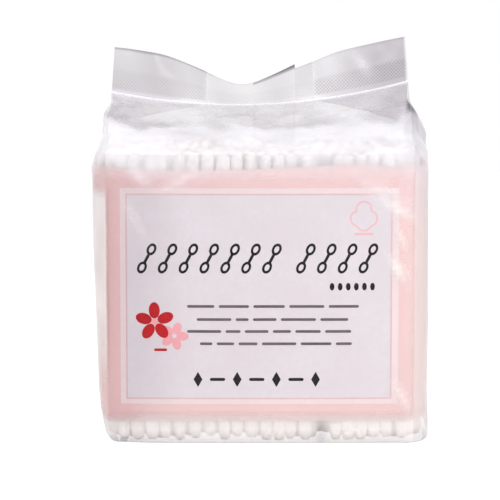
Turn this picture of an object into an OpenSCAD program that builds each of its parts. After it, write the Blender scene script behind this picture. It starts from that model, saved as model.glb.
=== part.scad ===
// A sealed clear film bag of cotton swabs, standing upright on its flat bottom.
// The swabs stand inside in staggered rows, and a printed paper band is wrapped round them.
// The frame is +Z up with the front facing -Y, and the origin is the middle of the bottom.

/* [Swabs] */
// Length of one swab from end to end
swab_l = 75; // [60:1:90]
// Diameter of the paper stick
stick_d = 2.1; // [1.6:0.1:2.6]
// Diameter of a cotton tip at its widest
tip_d = 3.65; // [3.2:0.05:3.75]
// Length of a cotton tip along the stick
tip_l = 14; // [10:0.5:18]
// Distance between neighbouring swabs in a row
swab_pitch = 3.8; // [3.8:0.05:4.4]

/* [Film bag] */
// Width of the front and back panels between their side creases
panel_w = 79; // [66:1:96]
// Depth of the filled bag between its front and back creases
bag_d = 50; // [40:1:60]
// How far the filled side gussets bulge past the creases
side_bulge = 5; // [2:0.5:6]
// How far the front and back panels bulge between the creases
face_bulge = 0.8; // [0.4:0.1:2]
// Thickness of the film
film_t = 0.15; // [0.08:0.01:0.18]
// Rounding of the edge where the bottom turns up into the sides
foot_r = 2.4; // [1.5:0.1:3]
// Clear space between the film and what it holds
film_gap = 0.15; // [0.1:0.05:0.4]

/* [Shoulders and header] */
// Rise of the shoulders from the filled body to the lowest point of the seal
shoulder_h = 10.4; // [7:0.2:18]
// How much higher the seal lies at its left end than at its lowest point
seal_lift_left = 3.4; // [0:0.2:6]
// How much higher the seal lies at its right end than at its lowest point
seal_lift_right = 5.6; // [0:0.2:8]
// Sideways place of the lowest point of the seal
dip_x = -6; // [-12:0.5:12]
// Height of the flat sealed header above the shoulders
header_h = 12.3; // [8:0.1:18]
// Backward lean of the header at its two ends, in degrees
lean_ends = 12; // [0:1:25]
// Further backward lean of the header where it dips, in degrees
lean_dip = 60; // [0:1:65]
// Half width of the leaning stretch of the header
lean_spread = 16.5; // [10:0.5:24]
// How much further up the back film reaches than the front film
back_rise = 0.4; // [0:0.1:1]

/* [Back seam] */
// Width of the lap where the two long edges of the film are sealed together
lap_w = 11.3; // [8:0.1:14]
// Sideways place of the middle of the lap
lap_x = 3.9; // [-5:0.1:5]
// How far the lap stands up past the header's edge
lap_rise = 0.6; // [0:0.1:1.5]

/* [Paper band] */
// Height of the printed paper band
band_h = 66; // [45:1:70]
// Height of the band's lower edge above the table
band_z = 6.2; // [4:0.1:12]
// Thickness of the paper
band_t = 0.2; // [0.1:0.05:0.3]
// Width of the overlap where the band's ends meet at the back
band_lap = 12; // [6:1:20]

/* [Hidden] */
$fn = 48;
half_w = panel_w / 2;
half_d = bag_d / 2;

// Swab rows: each row is shifted by half a pitch, so that the tips nest
wall = film_t + film_gap + band_t + film_gap;
row_pitch = swab_pitch * sin(60);
reach_y = half_d - wall - tip_d / 2;
swab_rows = floor(2 * reach_y / row_pitch) + 1;
swab_z = film_t + film_gap;
end_cover = 1;

// Body: it is as tall as the swabs
head_gap = 0.4;
body_h = swab_z + swab_l + head_gap;

// Folds: each gusset is folded in half as deep as the bag, and ends inside the header
gusset_steps = 5;
fold_x = half_w - half_d;
crease_step = 0.25;
slit = film_t / 10;
inner_top = 0.86;
shoulder_inset = 1.9;
foot_steps = 4;
body_steps = 3;
shoulder_levels = [0.1, 0.22, 0.35, 0.5, 0.65, 0.78, 0.88, 0.95, 1];
inner_levels = [0.1, 0.22, 0.35, 0.5, 0.65, 0.78, inner_top];
header_steps = 5;

function row_name(what, row) = str(what, "_row_", row < 10 ? "0" : "", row);

// Half width of the filled body at depth y, and half depth at width x
function side_at(y) = half_w + side_bulge * (1 - pow(y / half_d, 2));
function face_at(x) = half_d + face_bulge * (1 - pow(min(abs(x), half_w) / half_w, 2));

// The lap on the back, and how many layers of film the header has at width x
lap_left = lap_x - lap_w / 2;
lap_right = lap_x + lap_w / 2;
function on_lap(x) = x > lap_left - crease_step / 2 && x < lap_right + crease_step / 2;
function layers(x) = abs(x) > fold_x - crease_step / 2 ? 4 : 2;

// Lists in rising order, in reverse order, and without the values that lie close to others
function sorted(list) =
    len(list) < 2
        ? list
        : let (rest = [for (k = [1 : len(list) - 1]) list[k]])
            concat(
                sorted([for (x = rest) if (x < list[0]) x]),
                [list[0]],
                sorted([for (x = rest) if (x >= list[0]) x])
            );
function reversed(list) = [for (k = [len(list) - 1 : -1 : 0]) list[k]];
function clear_of(list, others) =
    [for (x = list) if (min([for (other = others) abs(x - other)]) > crease_step / 4) x];

// Places across a panel, from the left crease to the right crease
gusset_xs = [for (k = [0 : gusset_steps]) half_w - k * half_d / gusset_steps];
fold_xs = concat(gusset_xs, -gusset_xs, [fold_x - crease_step, crease_step - fold_x]);
lap_xs = clear_of(
    [lap_left - crease_step, lap_left, lap_x, lap_right, lap_right + crease_step],
    fold_xs
);
dip_xs = clear_of([dip_x, (dip_x - fold_x) / 2], concat(fold_xs, lap_xs));
panel_xs = sorted(concat(fold_xs, lap_xs, dip_xs));
panel_n = len(panel_xs) - 1;

// Places along each half gusset, as shares of its depth, between its crease and its fold
right_fs = [for (x = reversed(panel_xs)) if (x < half_w && x > fold_x + slit) (half_w - x) / half_d];
left_fs = [for (x = panel_xs) if (x > -half_w && x < -fold_x - slit) (half_w + x) / half_d];
right_n = len(right_fs) + 1;
left_n = len(left_fs) + 1;
ring_n = 2 * (panel_n + right_n + left_n);

// Height of the seal line, and backward lean of the header above it
function seal_z(x) =
    body_h + shoulder_h
    + (x < dip_x ? seal_lift_left : seal_lift_right)
    * pow((x - dip_x) / ((x < dip_x ? -half_w : half_w) - dip_x), 2);
function lean(x) = lean_ends + lean_dip * exp(-pow((x - dip_x) / lean_spread, 2));

// Points of the film's outline at closing u: 0 is the full body, 1 is the seal line
function panel_y(x, u) = face_at(x) * (1 - u) + layers(x) * film_t / 2 * u;
function gusset_x(f, u) =
    half_w + side_bulge * pow(1 - u, 2) * (1 - pow(1 - f, 2)) - half_d * u * f;
function gusset_y(f, u) = half_d * (1 - u) * (1 - f) + slit;
function gusset(fs, u, side) = side * concat(
    [for (f = fs) [gusset_x(f, u), -gusset_y(f, u)]],
    [[gusset_x(1, u), 0]],
    [for (f = reversed(fs)) [gusset_x(f, u), gusset_y(f, u)]]
);
function outline(u) = concat(
    [for (x = panel_xs) [x, -panel_y(x, u)]],
    gusset(right_fs, u, 1),
    [for (x = reversed(panel_xs)) [x, panel_y(x, u)]],
    gusset(left_fs, u, -1)
);

// Moves a closed outline inwards by a distance, with its corners kept sharp
function unit(v) = v / norm(v);
function inward(a, b) = let (d = unit(b - a)) [-d.y, d.x];
function inset(points, by) = [
    for (k = [0 : len(points) - 1])
        let (
            n = len(points),
            p = points[k],
            before = inward(points[(k + n - 1) % n], p),
            after = inward(p, points[(k + 1) % n])
        )
        p + by * (before + after) / (1 + before * after)
];

// Lifts an outline to a height, or up the shoulders
function at_height(points, z) = [for (p = points) [p.x, p.y, z]];
function on_shoulder(points, u) =
    [for (p = points) [p.x, p.y, body_h + (seal_z(p.x) - body_h) * u]];

// Adds the lap's thickness to the back panel
function with_lap(points) = [
    for (k = [0 : len(points) - 1])
        let (
            p = points[k],
            back = k >= panel_n + 2 * right_n && k <= 2 * (panel_n + right_n)
        )
        back && on_lap(p.x) ? p + [0, film_t, 0] : p
];

// Points of the header at height v, from 0 at the seal line to 1 at its edge
function header_point(x, v, side) =
    let (
        a = lean(x),
        lap = side > 0 && on_lap(x),
        h = header_h * v + (side > 0 ? (back_rise + (lap ? lap_rise : 0)) * v : 0),
        thick = layers(x) * film_t / 2 + (lap ? film_t : 0)
    )
    [
        x,
        h * sin(a) + side * thick * cos(a * min(1, 2 * v)),
        seal_z(x) + h * cos(a) - side * thick * sin(a * min(1, 2 * v))
    ];
function header_ring(v) = concat(
    [for (x = panel_xs) header_point(x, v, -1)],
    [for (x = reversed(panel_xs)) header_point(x, v, 1)]
);

// Faces between two rings of points, and between the two sides of one ring
function quad(a, b, c, d) = [[a, c, b], [a, d, c]];
function skin(low, high) = [
    for (k = [0 : len(low) - 1])
        let (m = (k + 1) % len(low))
        each quad(low[k], low[m], high[m], high[k])
];
function strip(one, two) = [
    for (k = [0 : len(one) - 2])
        each one[k + 1] == two[k + 1]
            ? [[one[k], one[k + 1], two[k]]]
            : one[k] == two[k]
                ? [[one[k], one[k + 1], two[k + 1]]]
                : [[one[k], one[k + 1], two[k + 1]], [one[k], two[k + 1], two[k]]]
];

// Numbers of the points of ring i, and of its stretches
function ring(i) = [for (k = [0 : ring_n - 1]) i * ring_n + k];
function front_of(r) = [for (k = [0 : panel_n]) r[k]];
function back_of(r) = [for (k = [panel_n : -1 : 0]) r[panel_n + 2 * right_n + k]];
function right_front(r) = [for (k = [0 : right_n]) r[panel_n + k]];
function right_back(r) = [for (k = [0 : right_n]) r[panel_n + 2 * right_n - k]];
function left_front(r) = [for (k = [0 : left_n]) r[(ring_n - k) % ring_n]];
function left_back(r) = [for (k = [0 : left_n]) r[2 * (panel_n + right_n) + k]];
function first(list, n) = [for (k = [0 : n]) list[k]];
function last(list, n) = [for (k = [0 : n]) list[len(list) - 1 - k]];

function floor_faces(r) = concat(
    strip(front_of(r), back_of(r)),
    strip(right_front(r), right_back(r)),
    strip(left_back(r), left_front(r))
);

body_top = outline(0);
foot_rings = [
    for (k = [0 : foot_steps - 1])
        let (a = 90 * k / foot_steps)
        [foot_r * (1 - sin(a)), foot_r * (1 - cos(a))]
];
wall_heights = [for (k = [0 : body_steps]) foot_r + (body_h - foot_r) * k / body_steps];

module film_outside() {
    rings = concat(
        [for (f = foot_rings) with_lap(at_height(inset(body_top, f[0]), f[1]))],
        [for (z = wall_heights) with_lap(at_height(body_top, z))],
        [for (u = shoulder_levels) with_lap(on_shoulder(outline(u), u))]
    );
    seal = ring(len(rings) - 1);
    header_first = len(rings) * ring_n;
    header_n = 2 * (panel_n + 1);
    header_points = [for (k = [1 : header_steps]) header_ring(k / header_steps)];
    header_loops = concat(
        [concat(front_of(seal), reversed(back_of(seal)))],
        [for (k = [0 : header_steps - 1])
            [for (m = [0 : header_n - 1]) header_first + k * header_n + m]]
    );
    edge = header_loops[header_steps];
    edge_front = [for (k = [0 : panel_n]) edge[k]];
    edge_back = [for (k = [panel_n + 1 : header_n - 1]) edge[k]];
    polyhedron(
        points = [for (r = concat(rings, header_points)) each r],
        faces = concat(
            floor_faces(ring(0)),
            [for (k = [0 : len(rings) - 2]) each skin(ring(k), ring(k + 1))],
            strip(right_back(seal), right_front(seal)),
            strip(left_front(seal), left_back(seal)),
            [for (k = [0 : header_steps - 1]) each skin(header_loops[k], header_loops[k + 1])],
            strip(reversed(edge_front), edge_back)
        )
    );
}

// The space inside the film, up to where its layers meet below the seal
module film_inside() {
    rings = concat(
        [for (f = foot_rings) at_height(inset(body_top, f[0] + film_t), f[1] + film_t)],
        [for (k = [1 : body_steps])
            at_height(inset(body_top, film_t), wall_heights[k] - film_t)],
        [for (u = inner_levels) on_shoulder(inset(outline(u), shoulder_inset * film_t), u)]
    );
    top = ring(len(rings) - 1);
    right_fold = panel_n - right_n;
    polyhedron(
        points = [for (r = rings) each r],
        faces = concat(
            floor_faces(ring(0)),
            [for (k = [0 : len(rings) - 2]) each skin(ring(k), ring(k + 1))],
            strip(last(front_of(top), right_n), right_front(top)),
            strip(right_back(top), last(back_of(top), right_n)),
            strip(left_front(top), first(front_of(top), left_n)),
            strip(first(back_of(top), left_n), left_back(top)),
            strip(
                [for (k = [left_n : right_fold]) back_of(top)[k]],
                [for (k = [left_n : right_fold]) front_of(top)[k]]
            ),
            [
                [
                    front_of(top)[right_fold],
                    back_of(top)[right_fold],
                    right_front(top)[right_n]
                ],
                [left_front(top)[left_n], back_of(top)[left_n], front_of(top)[left_n]]
            ]
        )
    );
}

// Clear film, folded into a tube with side gussets and sealed flat at the top
module film_bag() {
    color([0.88, 0.87, 0.9, 0.35])
        difference() {
            film_outside();
            film_inside();
        }
}

// The band's route round the swabs: it starts and ends at the back, where it overlaps
band_front = [for (x = panel_xs) [x, -face_at(x)]];
band_right = [
    for (k = [1 : 2 * gusset_steps - 1])
        let (y = half_d * (k / gusset_steps - 1))
        [side_at(y), y]
];
band_back_right = [for (x = reversed(panel_xs)) if (x > band_lap / 2) [x, face_at(x)]];
band_back_left = [for (x = reversed(panel_xs)) if (x < -band_lap / 2) [x, face_at(x)]];
band_ends = [[band_lap / 2, face_at(0)], [-band_lap / 2, face_at(0)]];
band_route = concat(
    band_ends,
    band_back_left,
    [for (p = reversed(band_right)) [-p.x, p.y]],
    band_front,
    band_right,
    band_back_right,
    band_ends
);
function band_offset(k, by) =
    let (
        n = len(band_route) - 1,
        p = band_route[k],
        before = k == 0 ? inward(p, band_route[1]) : inward(band_route[k - 1], p),
        after = k == n ? before : inward(p, band_route[k + 1]),
        under = k > n - 2 ? band_t + film_gap : 0
    )
    p + (by + under) * (before + after) / (1 + before * after);

// Printed paper, bent round the swabs inside the film
module paper_band() {
    outer = film_t + film_gap;
    n = len(band_route) - 1;
    color([0.95, 0.8, 0.8])
        translate([0, 0, band_z])
            linear_extrude(height = band_h)
                polygon(concat(
                    [for (k = [0 : n]) band_offset(k, outer)],
                    [for (k = [n : -1 : 0]) band_offset(k, outer + band_t)]
                ));
}

// Places of the swabs of a row, from left to right
function row_y(row) = (row - (swab_rows + 1) / 2) * row_pitch;
function row_room(row) = side_at(abs(row_y(row)) + tip_d / 4) - wall - tip_d / 2;
function row_xs(row) =
    let (
        shift = row % 2 == 0 ? 0 : swab_pitch / 2,
        n = floor((row_room(row) - shift) / swab_pitch)
    )
    shift > 0
        ? [for (k = [-n - 1 : n]) shift + k * swab_pitch]
        : [for (k = [-n : n]) k * swab_pitch];

// One paper stick: the cotton covers its two ends
module swab_stick() {
    translate([0, 0, end_cover])
        cylinder(d = stick_d, h = swab_l - 2 * end_cover);
}

// One cotton tip, wound round the stick's end: z = 0 is the end of the swab
module swab_tip() {
    r = tip_d / 2;
    rotate_extrude()
        polygon([
            [0, 0],
            [0.5 * r, 0],
            [0.84 * r, 0.045 * tip_l],
            [r, 0.22 * tip_l],
            [0.97 * r, 0.5 * tip_l],
            [0.8 * r, 0.8 * tip_l],
            [stick_d / 2, tip_l],
            [stick_d / 2, end_cover],
            [0, end_cover]
        ]);
}

module swab_sticks_row(row) {
    color("white")
        for (x = row_xs(row))
            translate([x, row_y(row), swab_z])
                swab_stick();
}

module swab_tips_row(row) {
    color("snow")
        for (x = row_xs(row))
            translate([x, row_y(row), swab_z]) {
                swab_tip();
                translate([0, 0, swab_l])
                    mirror([0, 0, 1])
                        swab_tip();
            }
}

film_bag();
paper_band();
for (row = [1 : swab_rows]) {
    swab_sticks_row(row);
    swab_tips_row(row);
}
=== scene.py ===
import math
import random

import bpy
import numpy as np
from mathutils import Euler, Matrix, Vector
from mathutils.geometry import delaunay_2d_cdt


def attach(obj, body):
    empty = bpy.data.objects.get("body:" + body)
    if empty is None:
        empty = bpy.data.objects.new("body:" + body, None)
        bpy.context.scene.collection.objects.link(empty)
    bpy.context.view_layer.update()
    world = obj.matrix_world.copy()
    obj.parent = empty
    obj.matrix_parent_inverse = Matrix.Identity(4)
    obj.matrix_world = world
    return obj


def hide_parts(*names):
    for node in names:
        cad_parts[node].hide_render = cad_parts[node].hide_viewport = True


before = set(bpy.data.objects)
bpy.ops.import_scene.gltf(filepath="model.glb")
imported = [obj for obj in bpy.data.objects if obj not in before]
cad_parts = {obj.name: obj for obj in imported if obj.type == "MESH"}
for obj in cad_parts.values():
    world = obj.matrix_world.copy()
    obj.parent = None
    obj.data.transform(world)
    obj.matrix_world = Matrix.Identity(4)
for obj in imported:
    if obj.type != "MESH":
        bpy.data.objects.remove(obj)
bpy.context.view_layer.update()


# Paper sticks: tight rolls of white paper, about 300 of them, standing upright in staggered rows.
# Every swab leans and sits a little differently, so a row is one piece of separate sticks.
swab_length = 0.075
stick_radius = 0.00105
stick_sides = 10
# A ring is marked on the stick's ends, as wide as this share of its radius
end_ring = 0.4
swab_pitch = 0.0038
row_pitch = swab_pitch * math.sin(math.radians(60))
row_count = 14
row_spread = 1.035
standing_height = 0.0003
cotton_cover = 0.001
widest_tip = 0.00365
panel_half = 0.0395
depth_half = 0.025
side_bulge = 0.005
wall_room = 0.00065
lean_limit = math.radians(0.5)
# How far a swab stands off its place at most, and how far it is lifted: any swab a little, and one
# inside the pack up to so much more
off_x = 0.0003
off_y = 0.0002
lift = 0.0007
inside_lift = 0.0022
swab_luck = random.Random(11)

# How far the filled bag bulges past its creases on the left and the right, at heights going up
left_heights = [
    0, 0.004, 0.0085, 0.013, 0.024, 0.045, 0.066, 0.0715, 0.0743, 0.077, 0.0797, 0.0824, 0.087, 0.09,
]
left_bulges = [
    0.0016, 0.0022, 0.0031, 0.0035, 0.0038, 0.0045, 0.0049, 0.0048, 0.0037, 0.0024, 0.0022, 0.0019, 0.002,
    0.001,
]
right_heights = [0, 0.003, 0.03, 0.07, 0.0755, 0.0797, 0.0824, 0.084, 0.0873, 0.092]
right_bulges = [0.0047, 0.005, 0.0052, 0.0049, 0.0045, 0.0037, 0.003, 0.0024, 0.0016, 0.0005]


def bulge_at(side, z):
    """How far the side bulges past its creases at a height."""
    left = np.interp(z, left_heights, left_bulges)
    right = np.interp(z, right_heights, right_bulges)
    return np.where(np.asarray(side) < 0, left, right)


# The gap near the right of the two front rows: the swabs on both sides are crowded off it, the
# nearest ones most, and those beyond the gap's reach not at all
gap_rows = 2
gap_place = 0.0159
gap_reach = 0.018
gap_push = 0.0023


def row_places(row):
    """Where the swabs of a row stand: x, y, rise, lean about x, lean about y."""
    y = (row - (row_count + 1) / 2) * row_pitch
    depth = abs(y) + widest_tip / 4
    room = panel_half + side_bulge * (1 - (depth / depth_half) ** 2) - wall_room - widest_tip / 2
    shift = swab_pitch / 2 if row % 2 else 0
    reach = math.floor((room - shift) / swab_pitch)
    first = -reach - 1 if row % 2 else -reach
    places = []
    for k in range(first, reach + 1):
        x = shift + k * swab_pitch
        away = x - gap_place
        if row <= gap_rows:
            x += math.copysign(gap_push * max(0, 1 - abs(away) / gap_reach), away)
        inner = 1 - (y / depth_half) ** 2
        rise = swab_luck.uniform(0, lift) + inside_lift * inner * swab_luck.random() ** 2
        places.append((
            x + swab_luck.uniform(-off_x, off_x),
            y * row_spread + swab_luck.uniform(-off_y, off_y),
            standing_height + rise,
            swab_luck.uniform(-lean_limit, lean_limit),
            swab_luck.uniform(-lean_limit, lean_limit),
        ))
    return places


def pick_faces(mesh_object, wanted):
    """Selects, in edit mode, only the faces that the test wants."""
    bpy.ops.object.mode_set(mode="EDIT")
    bpy.ops.mesh.select_mode(type="FACE")
    bpy.ops.mesh.select_all(action="DESELECT")
    bpy.ops.object.mode_set(mode="OBJECT")
    for face in mesh_object.data.polygons:
        face.select = wanted(face)
    bpy.ops.object.mode_set(mode="EDIT")


def shape_of(mesh_object):
    """The points and faces of a finished master shape, which is then removed."""
    points = np.array([v.co for v in mesh_object.data.vertices])
    # Extrude and inset give the faces another order in each run, so they are sorted
    faces = sorted(tuple(p.vertices) for p in mesh_object.data.polygons)
    bpy.data.objects.remove(mesh_object)
    return points, faces


def fill_bag(points):
    """Crowds the swabs into the bag's own outline, which is not the same at both sides."""
    share = np.clip(np.abs(points[:, 1]) / depth_half, 0, 1)
    old = panel_half + side_bulge * (1 - share ** 2) - wall_room
    new = panel_half + bulge_at(points[:, 0], points[:, 2]) * (1 - share ** 4) - wall_room
    return points * np.stack([new / old, np.ones(len(points)), np.ones(len(points))], 1)


def copies(name, shape, placings):
    """One mesh object of a master shape set at many places, each copy with its own points."""
    points, faces = shape
    all_points = []
    all_faces = []
    for number, place in enumerate(placings):
        all_points.append(fill_bag(place(points)))
        start = number * len(points)
        all_faces += [tuple(start + v for v in face) for face in faces]
    mesh = bpy.data.meshes.new(name)
    mesh.from_pydata(np.concatenate(all_points).tolist(), [], all_faces)
    mesh.polygons.foreach_set("use_smooth", [True] * len(mesh.polygons))
    made = bpy.data.objects.new(name, mesh)
    bpy.context.scene.collection.objects.link(made)
    return made


def leaning(place):
    """The turn and the foot of a swab."""
    x, y, z, about_x, about_y = place
    return np.array(Euler((about_x, about_y, 0)).to_matrix()), np.array([x, y, z])


def standing_stick(place):
    """How to set one stick, with the lean of its swab."""
    turn, foot = leaning(place)
    return lambda points: points @ turn.T + foot


bpy.ops.object.select_all(action="DESELECT")
stick_length = swab_length - 2 * cotton_cover
bpy.ops.mesh.primitive_cylinder_add(
    vertices=stick_sides, radius=stick_radius, depth=stick_length, location=(0, 0, swab_length / 2)
)
stick_master = bpy.context.object
bpy.ops.object.transform_apply(location=True)
pick_faces(stick_master, lambda face: abs(face.normal.z) > 0.9)
bpy.ops.mesh.inset(thickness=stick_radius * end_ring, depth=0)
bpy.ops.object.mode_set(mode="OBJECT")
stick_shape = shape_of(stick_master)


def linear(red, green, blue):
    """A colour as seen, 0 to 255, as the scene's linear light."""
    parts = [c / 255 for c in (red, green, blue)]
    return (*[c / 12.92 if c < 0.04045 else ((c + 0.055) / 1.055) ** 2.4 for c in parts], 1)


def new_material(name, colour, roughness):
    """A material with one Principled shader."""
    material = bpy.data.materials.new(name)
    material.use_nodes = True
    shader = material.node_tree.nodes["Principled BSDF"]
    shader.inputs["Base Color"].default_value = colour
    shader.inputs["Roughness"].default_value = roughness
    return material, material.node_tree, shader


def add_node(tree, kind, **inputs):
    """A node with the inputs given by name; spaces in a name are written as underscores."""
    node = tree.nodes.new(kind)
    for name, value in inputs.items():
        node.inputs[name.replace("_", " ")].default_value = value
    return node


# Fibres: the fine threads in paper and cotton. Puts out the threads, which also give the bumps
# their height, and larger patches.
fibre_group = bpy.data.node_groups.new("fibres", "ShaderNodeTree")
for socket, kind, in_out, value in (
    ("Stretch", "NodeSocketVector", "INPUT", (1, 1, 1)),
    ("Scale", "NodeSocketFloat", "INPUT", 400),
    ("Patch Scale", "NodeSocketFloat", "INPUT", 60),
    ("Threads", "NodeSocketFloat", "OUTPUT", 0),
    ("Patches", "NodeSocketFloat", "OUTPUT", 0),
):
    made = fibre_group.interface.new_socket(socket, in_out=in_out, socket_type=kind)
    if in_out == "INPUT":
        made.default_value = value
fibre_in = fibre_group.nodes.new("NodeGroupInput")
fibre_out = fibre_group.nodes.new("NodeGroupOutput")
fibre_place = fibre_group.nodes.new("ShaderNodeTexCoord")
fibre_stretch = fibre_group.nodes.new("ShaderNodeVectorMath")
fibre_stretch.operation = "MULTIPLY"
fibre_threads = add_node(fibre_group, "ShaderNodeTexNoise", Detail=4, Roughness=0.6)
fibre_patches = add_node(fibre_group, "ShaderNodeTexNoise", Detail=2, Roughness=0.5)
join = fibre_group.links.new
join(fibre_place.outputs["Object"], fibre_stretch.inputs[0])
join(fibre_in.outputs["Stretch"], fibre_stretch.inputs[1])
join(fibre_stretch.outputs["Vector"], fibre_threads.inputs["Vector"])
join(fibre_place.outputs["Object"], fibre_patches.inputs["Vector"])
join(fibre_in.outputs["Scale"], fibre_threads.inputs["Scale"])
join(fibre_in.outputs["Patch Scale"], fibre_patches.inputs["Scale"])
join(fibre_threads.outputs["Fac"], fibre_out.inputs["Threads"])
join(fibre_patches.outputs["Fac"], fibre_out.inputs["Patches"])
# Threads times patches lies mostly between these two
fibre_low = 0.15
fibre_high = 0.4


def fibrous(name, light, dark, roughness, stretch, scale, patch_scale, bump, depth):
    """A material of threads: its colour wanders between two shades, and its surface is fuzzy."""
    material, tree, shader = new_material(name, light, roughness)
    fibres = tree.nodes.new("ShaderNodeGroup")
    fibres.node_tree = fibre_group
    fibres.inputs["Stretch"].default_value = stretch
    fibres.inputs["Scale"].default_value = scale
    fibres.inputs["Patch Scale"].default_value = patch_scale
    both = tree.nodes.new("ShaderNodeMath")
    both.operation = "MULTIPLY"
    spread = add_node(tree, "ShaderNodeMapRange")
    spread.inputs["From Min"].default_value = fibre_low
    spread.inputs["From Max"].default_value = fibre_high
    shades = tree.nodes.new("ShaderNodeMix")
    shades.data_type = "RGBA"
    shades.inputs["A"].default_value = dark
    shades.inputs["B"].default_value = light
    relief = add_node(tree, "ShaderNodeBump", Strength=bump, Distance=depth)
    tree.links.new(fibres.outputs["Threads"], both.inputs[0])
    tree.links.new(fibres.outputs["Patches"], both.inputs[1])
    tree.links.new(both.outputs["Value"], spread.inputs["Value"])
    tree.links.new(spread.outputs["Result"], shades.inputs["Factor"])
    tree.links.new(shades.outputs["Result"], shader.inputs["Base Color"])
    tree.links.new(fibres.outputs["Threads"], relief.inputs["Height"])
    tree.links.new(relief.outputs["Normal"], shader.inputs["Normal"])
    return material


stick_paper = fibrous(
    "white rolled paper", linear(240, 236, 232), linear(226, 221, 216), 0.7,
    (1, 1, 0.15), 900, 150, 0.3, 0.0001,
)
rows = [row_places(row) for row in range(1, row_count + 1)]
for number, places in enumerate(rows, 1):
    placings = [standing_stick(place) for place in places]
    sticks = copies(f"paper_sticks_row_{number:02d}", stick_shape, placings)
    sticks.data.materials.append(stick_paper)
    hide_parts(f"swab_sticks_row_{number:02d}")
    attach(sticks, "root")


# Cotton tips: loose cotton wound round both ends of every stick, blunt and round at the end and
# tapering down the stick. Each is soft, so no two have quite the same size or shape.
tip_length = 0.014
tip_sides = 10
# A tip is up to this share thicker or thinner, and its fluff stands up by about this much
thicker = 0.11
fluff = 0.00009
# Rings of a tip, as shares of its widest radius and of its length
tip_rings = [
    (0.34, 0), (0.7, 0.025), (0.91, 0.09), (1, 0.22), (0.97, 0.5), (0.82, 0.78), (0.6, 0.97),
]

bpy.ops.object.select_all(action="DESELECT")
tip_radius = widest_tip / 2
bpy.ops.mesh.primitive_circle_add(
    vertices=tip_sides, radius=tip_radius * tip_rings[0][0], fill_type="NGON"
)
tip_master = bpy.context.object
bpy.ops.object.mode_set(mode="EDIT")
bpy.ops.mesh.select_mode(type="FACE")
bpy.ops.mesh.select_all(action="SELECT")
for (low_share, low), (high_share, high) in zip(tip_rings, tip_rings[1:]):
    bpy.ops.mesh.extrude_region_move(
        TRANSFORM_OT_translate={"value": (0, 0, (high - low) * tip_length)}
    )
    grow = high_share / low_share
    bpy.ops.transform.resize(value=(grow, grow, 1), center_override=(0, 0, high * tip_length))
bpy.ops.mesh.select_all(action="SELECT")
bpy.ops.mesh.normals_make_consistent(inside=False)
bpy.ops.object.mode_set(mode="OBJECT")
tip_shape = shape_of(tip_master)
# The front and back rows are seen closest, so their tips are rounder
tip_points, tip_faces = tip_shape
fine_mesh = bpy.data.meshes.new("rounder_tip")
fine_mesh.from_pydata(tip_points.tolist(), [], tip_faces)
fine_master = bpy.data.objects.new("rounder_tip", fine_mesh)
bpy.context.scene.collection.objects.link(fine_master)
bpy.context.view_layer.objects.active = fine_master
rounder = fine_master.modifiers.new("rounder", "SUBSURF")
rounder.levels = 1
rounder.render_levels = 1
bpy.ops.object.modifier_apply(modifier="rounder")
fine_tip_shape = shape_of(fine_master)

cotton = fibrous(
    "loose cotton", linear(252, 249, 248), linear(236, 229, 226), 0.95,
    (1, 1, 0.5), 1500, 500, 0.6, 0.00025,
)
cotton_shader = cotton.node_tree.nodes["Principled BSDF"]
cotton_shader.inputs["Sheen Weight"].default_value = 0.25
cotton_shader.inputs["Sheen Roughness"].default_value = 0.6
cotton_shader.inputs["Specular IOR Level"].default_value = 0.1
fluff_dice = np.random.default_rng(23)


def wound_tip(place, upper):
    """How to set one tip: its own size and fluff, on the stick's lower or upper end."""
    turn, foot = leaning(place)
    size = 1 + swab_luck.uniform(-thicker, thicker)
    spin = np.array(Euler((0, 0, swab_luck.uniform(0, math.tau))).to_matrix())

    def set_tip(points):
        own = points * np.array([size, size, 1]) @ spin.T
        own = own + fluff_dice.normal(0, fluff, own.shape)
        own[:, 2] = np.maximum(own[:, 2], 0)
        if upper:
            own = own * np.array([1, -1, -1]) + np.array([0, 0, swab_length])
        return own @ turn.T + foot

    return set_tip


for number, places in enumerate(rows, 1):
    shape = fine_tip_shape if number in (1, row_count) else tip_shape
    placings = [wound_tip(place, upper) for place in places for upper in (False, True)]
    tips = copies(f"cotton_tips_row_{number:02d}", shape, placings)
    tips.data.materials.append(cotton)
    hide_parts(f"swab_tips_row_{number:02d}")
    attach(tips, "root")


# Paper band: one sheet of thin paper, printed in flat colours on its outside, bent round the
# swabs inside the film. Its ends overlap at the back. Its sizes, and the film's, are millimetres.
mm = 0.001
crease_x = round(panel_half / mm, 2)
crease_y = round(depth_half / mm, 2)
band_low = 6.0
band_high = 72.2
band_thick = 0.2
band_room = 0.3
band_overlap = 12
lap_room = 0.1
face_bulge = 0.8


def front_at(x):
    """How far the front or back stands from the middle at a width, in millimetres."""
    return crease_y + face_bulge * (1 - np.minimum(np.abs(x) / crease_x, 1) ** 2)


# The route of the sheet, as seen from above, from its end at the back round the left side, the
# front and the right side to its other end
route_step = 0.5
front_x = np.arange(-crease_x, crease_x + route_step / 2, route_step)
side_y = np.arange(-crease_y, crease_y + route_step / 2, route_step)[1:-1]
back_left_x = np.arange(band_overlap / 2, -crease_x - route_step / 2, -route_step)
back_right_x = np.arange(crease_x, -band_overlap / 2 - route_step / 2, -route_step)


def route_points(room):
    """The sheet's outer face, with the side bulge left out."""
    left = np.stack([np.full(len(side_y), -crease_x + room), side_y[::-1]], 1)
    right = np.stack([np.full(len(side_y), crease_x - room), side_y], 1)
    slip = np.interp(back_right_x, [band_overlap / 2, band_overlap], [band_thick + lap_room, 0])
    return np.concatenate([
        np.stack([back_left_x, front_at(back_left_x) - room], 1),
        left,
        np.stack([front_x, -front_at(front_x) + room], 1),
        right,
        np.stack([back_right_x, front_at(back_right_x) - room - slip], 1),
    ])


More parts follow.
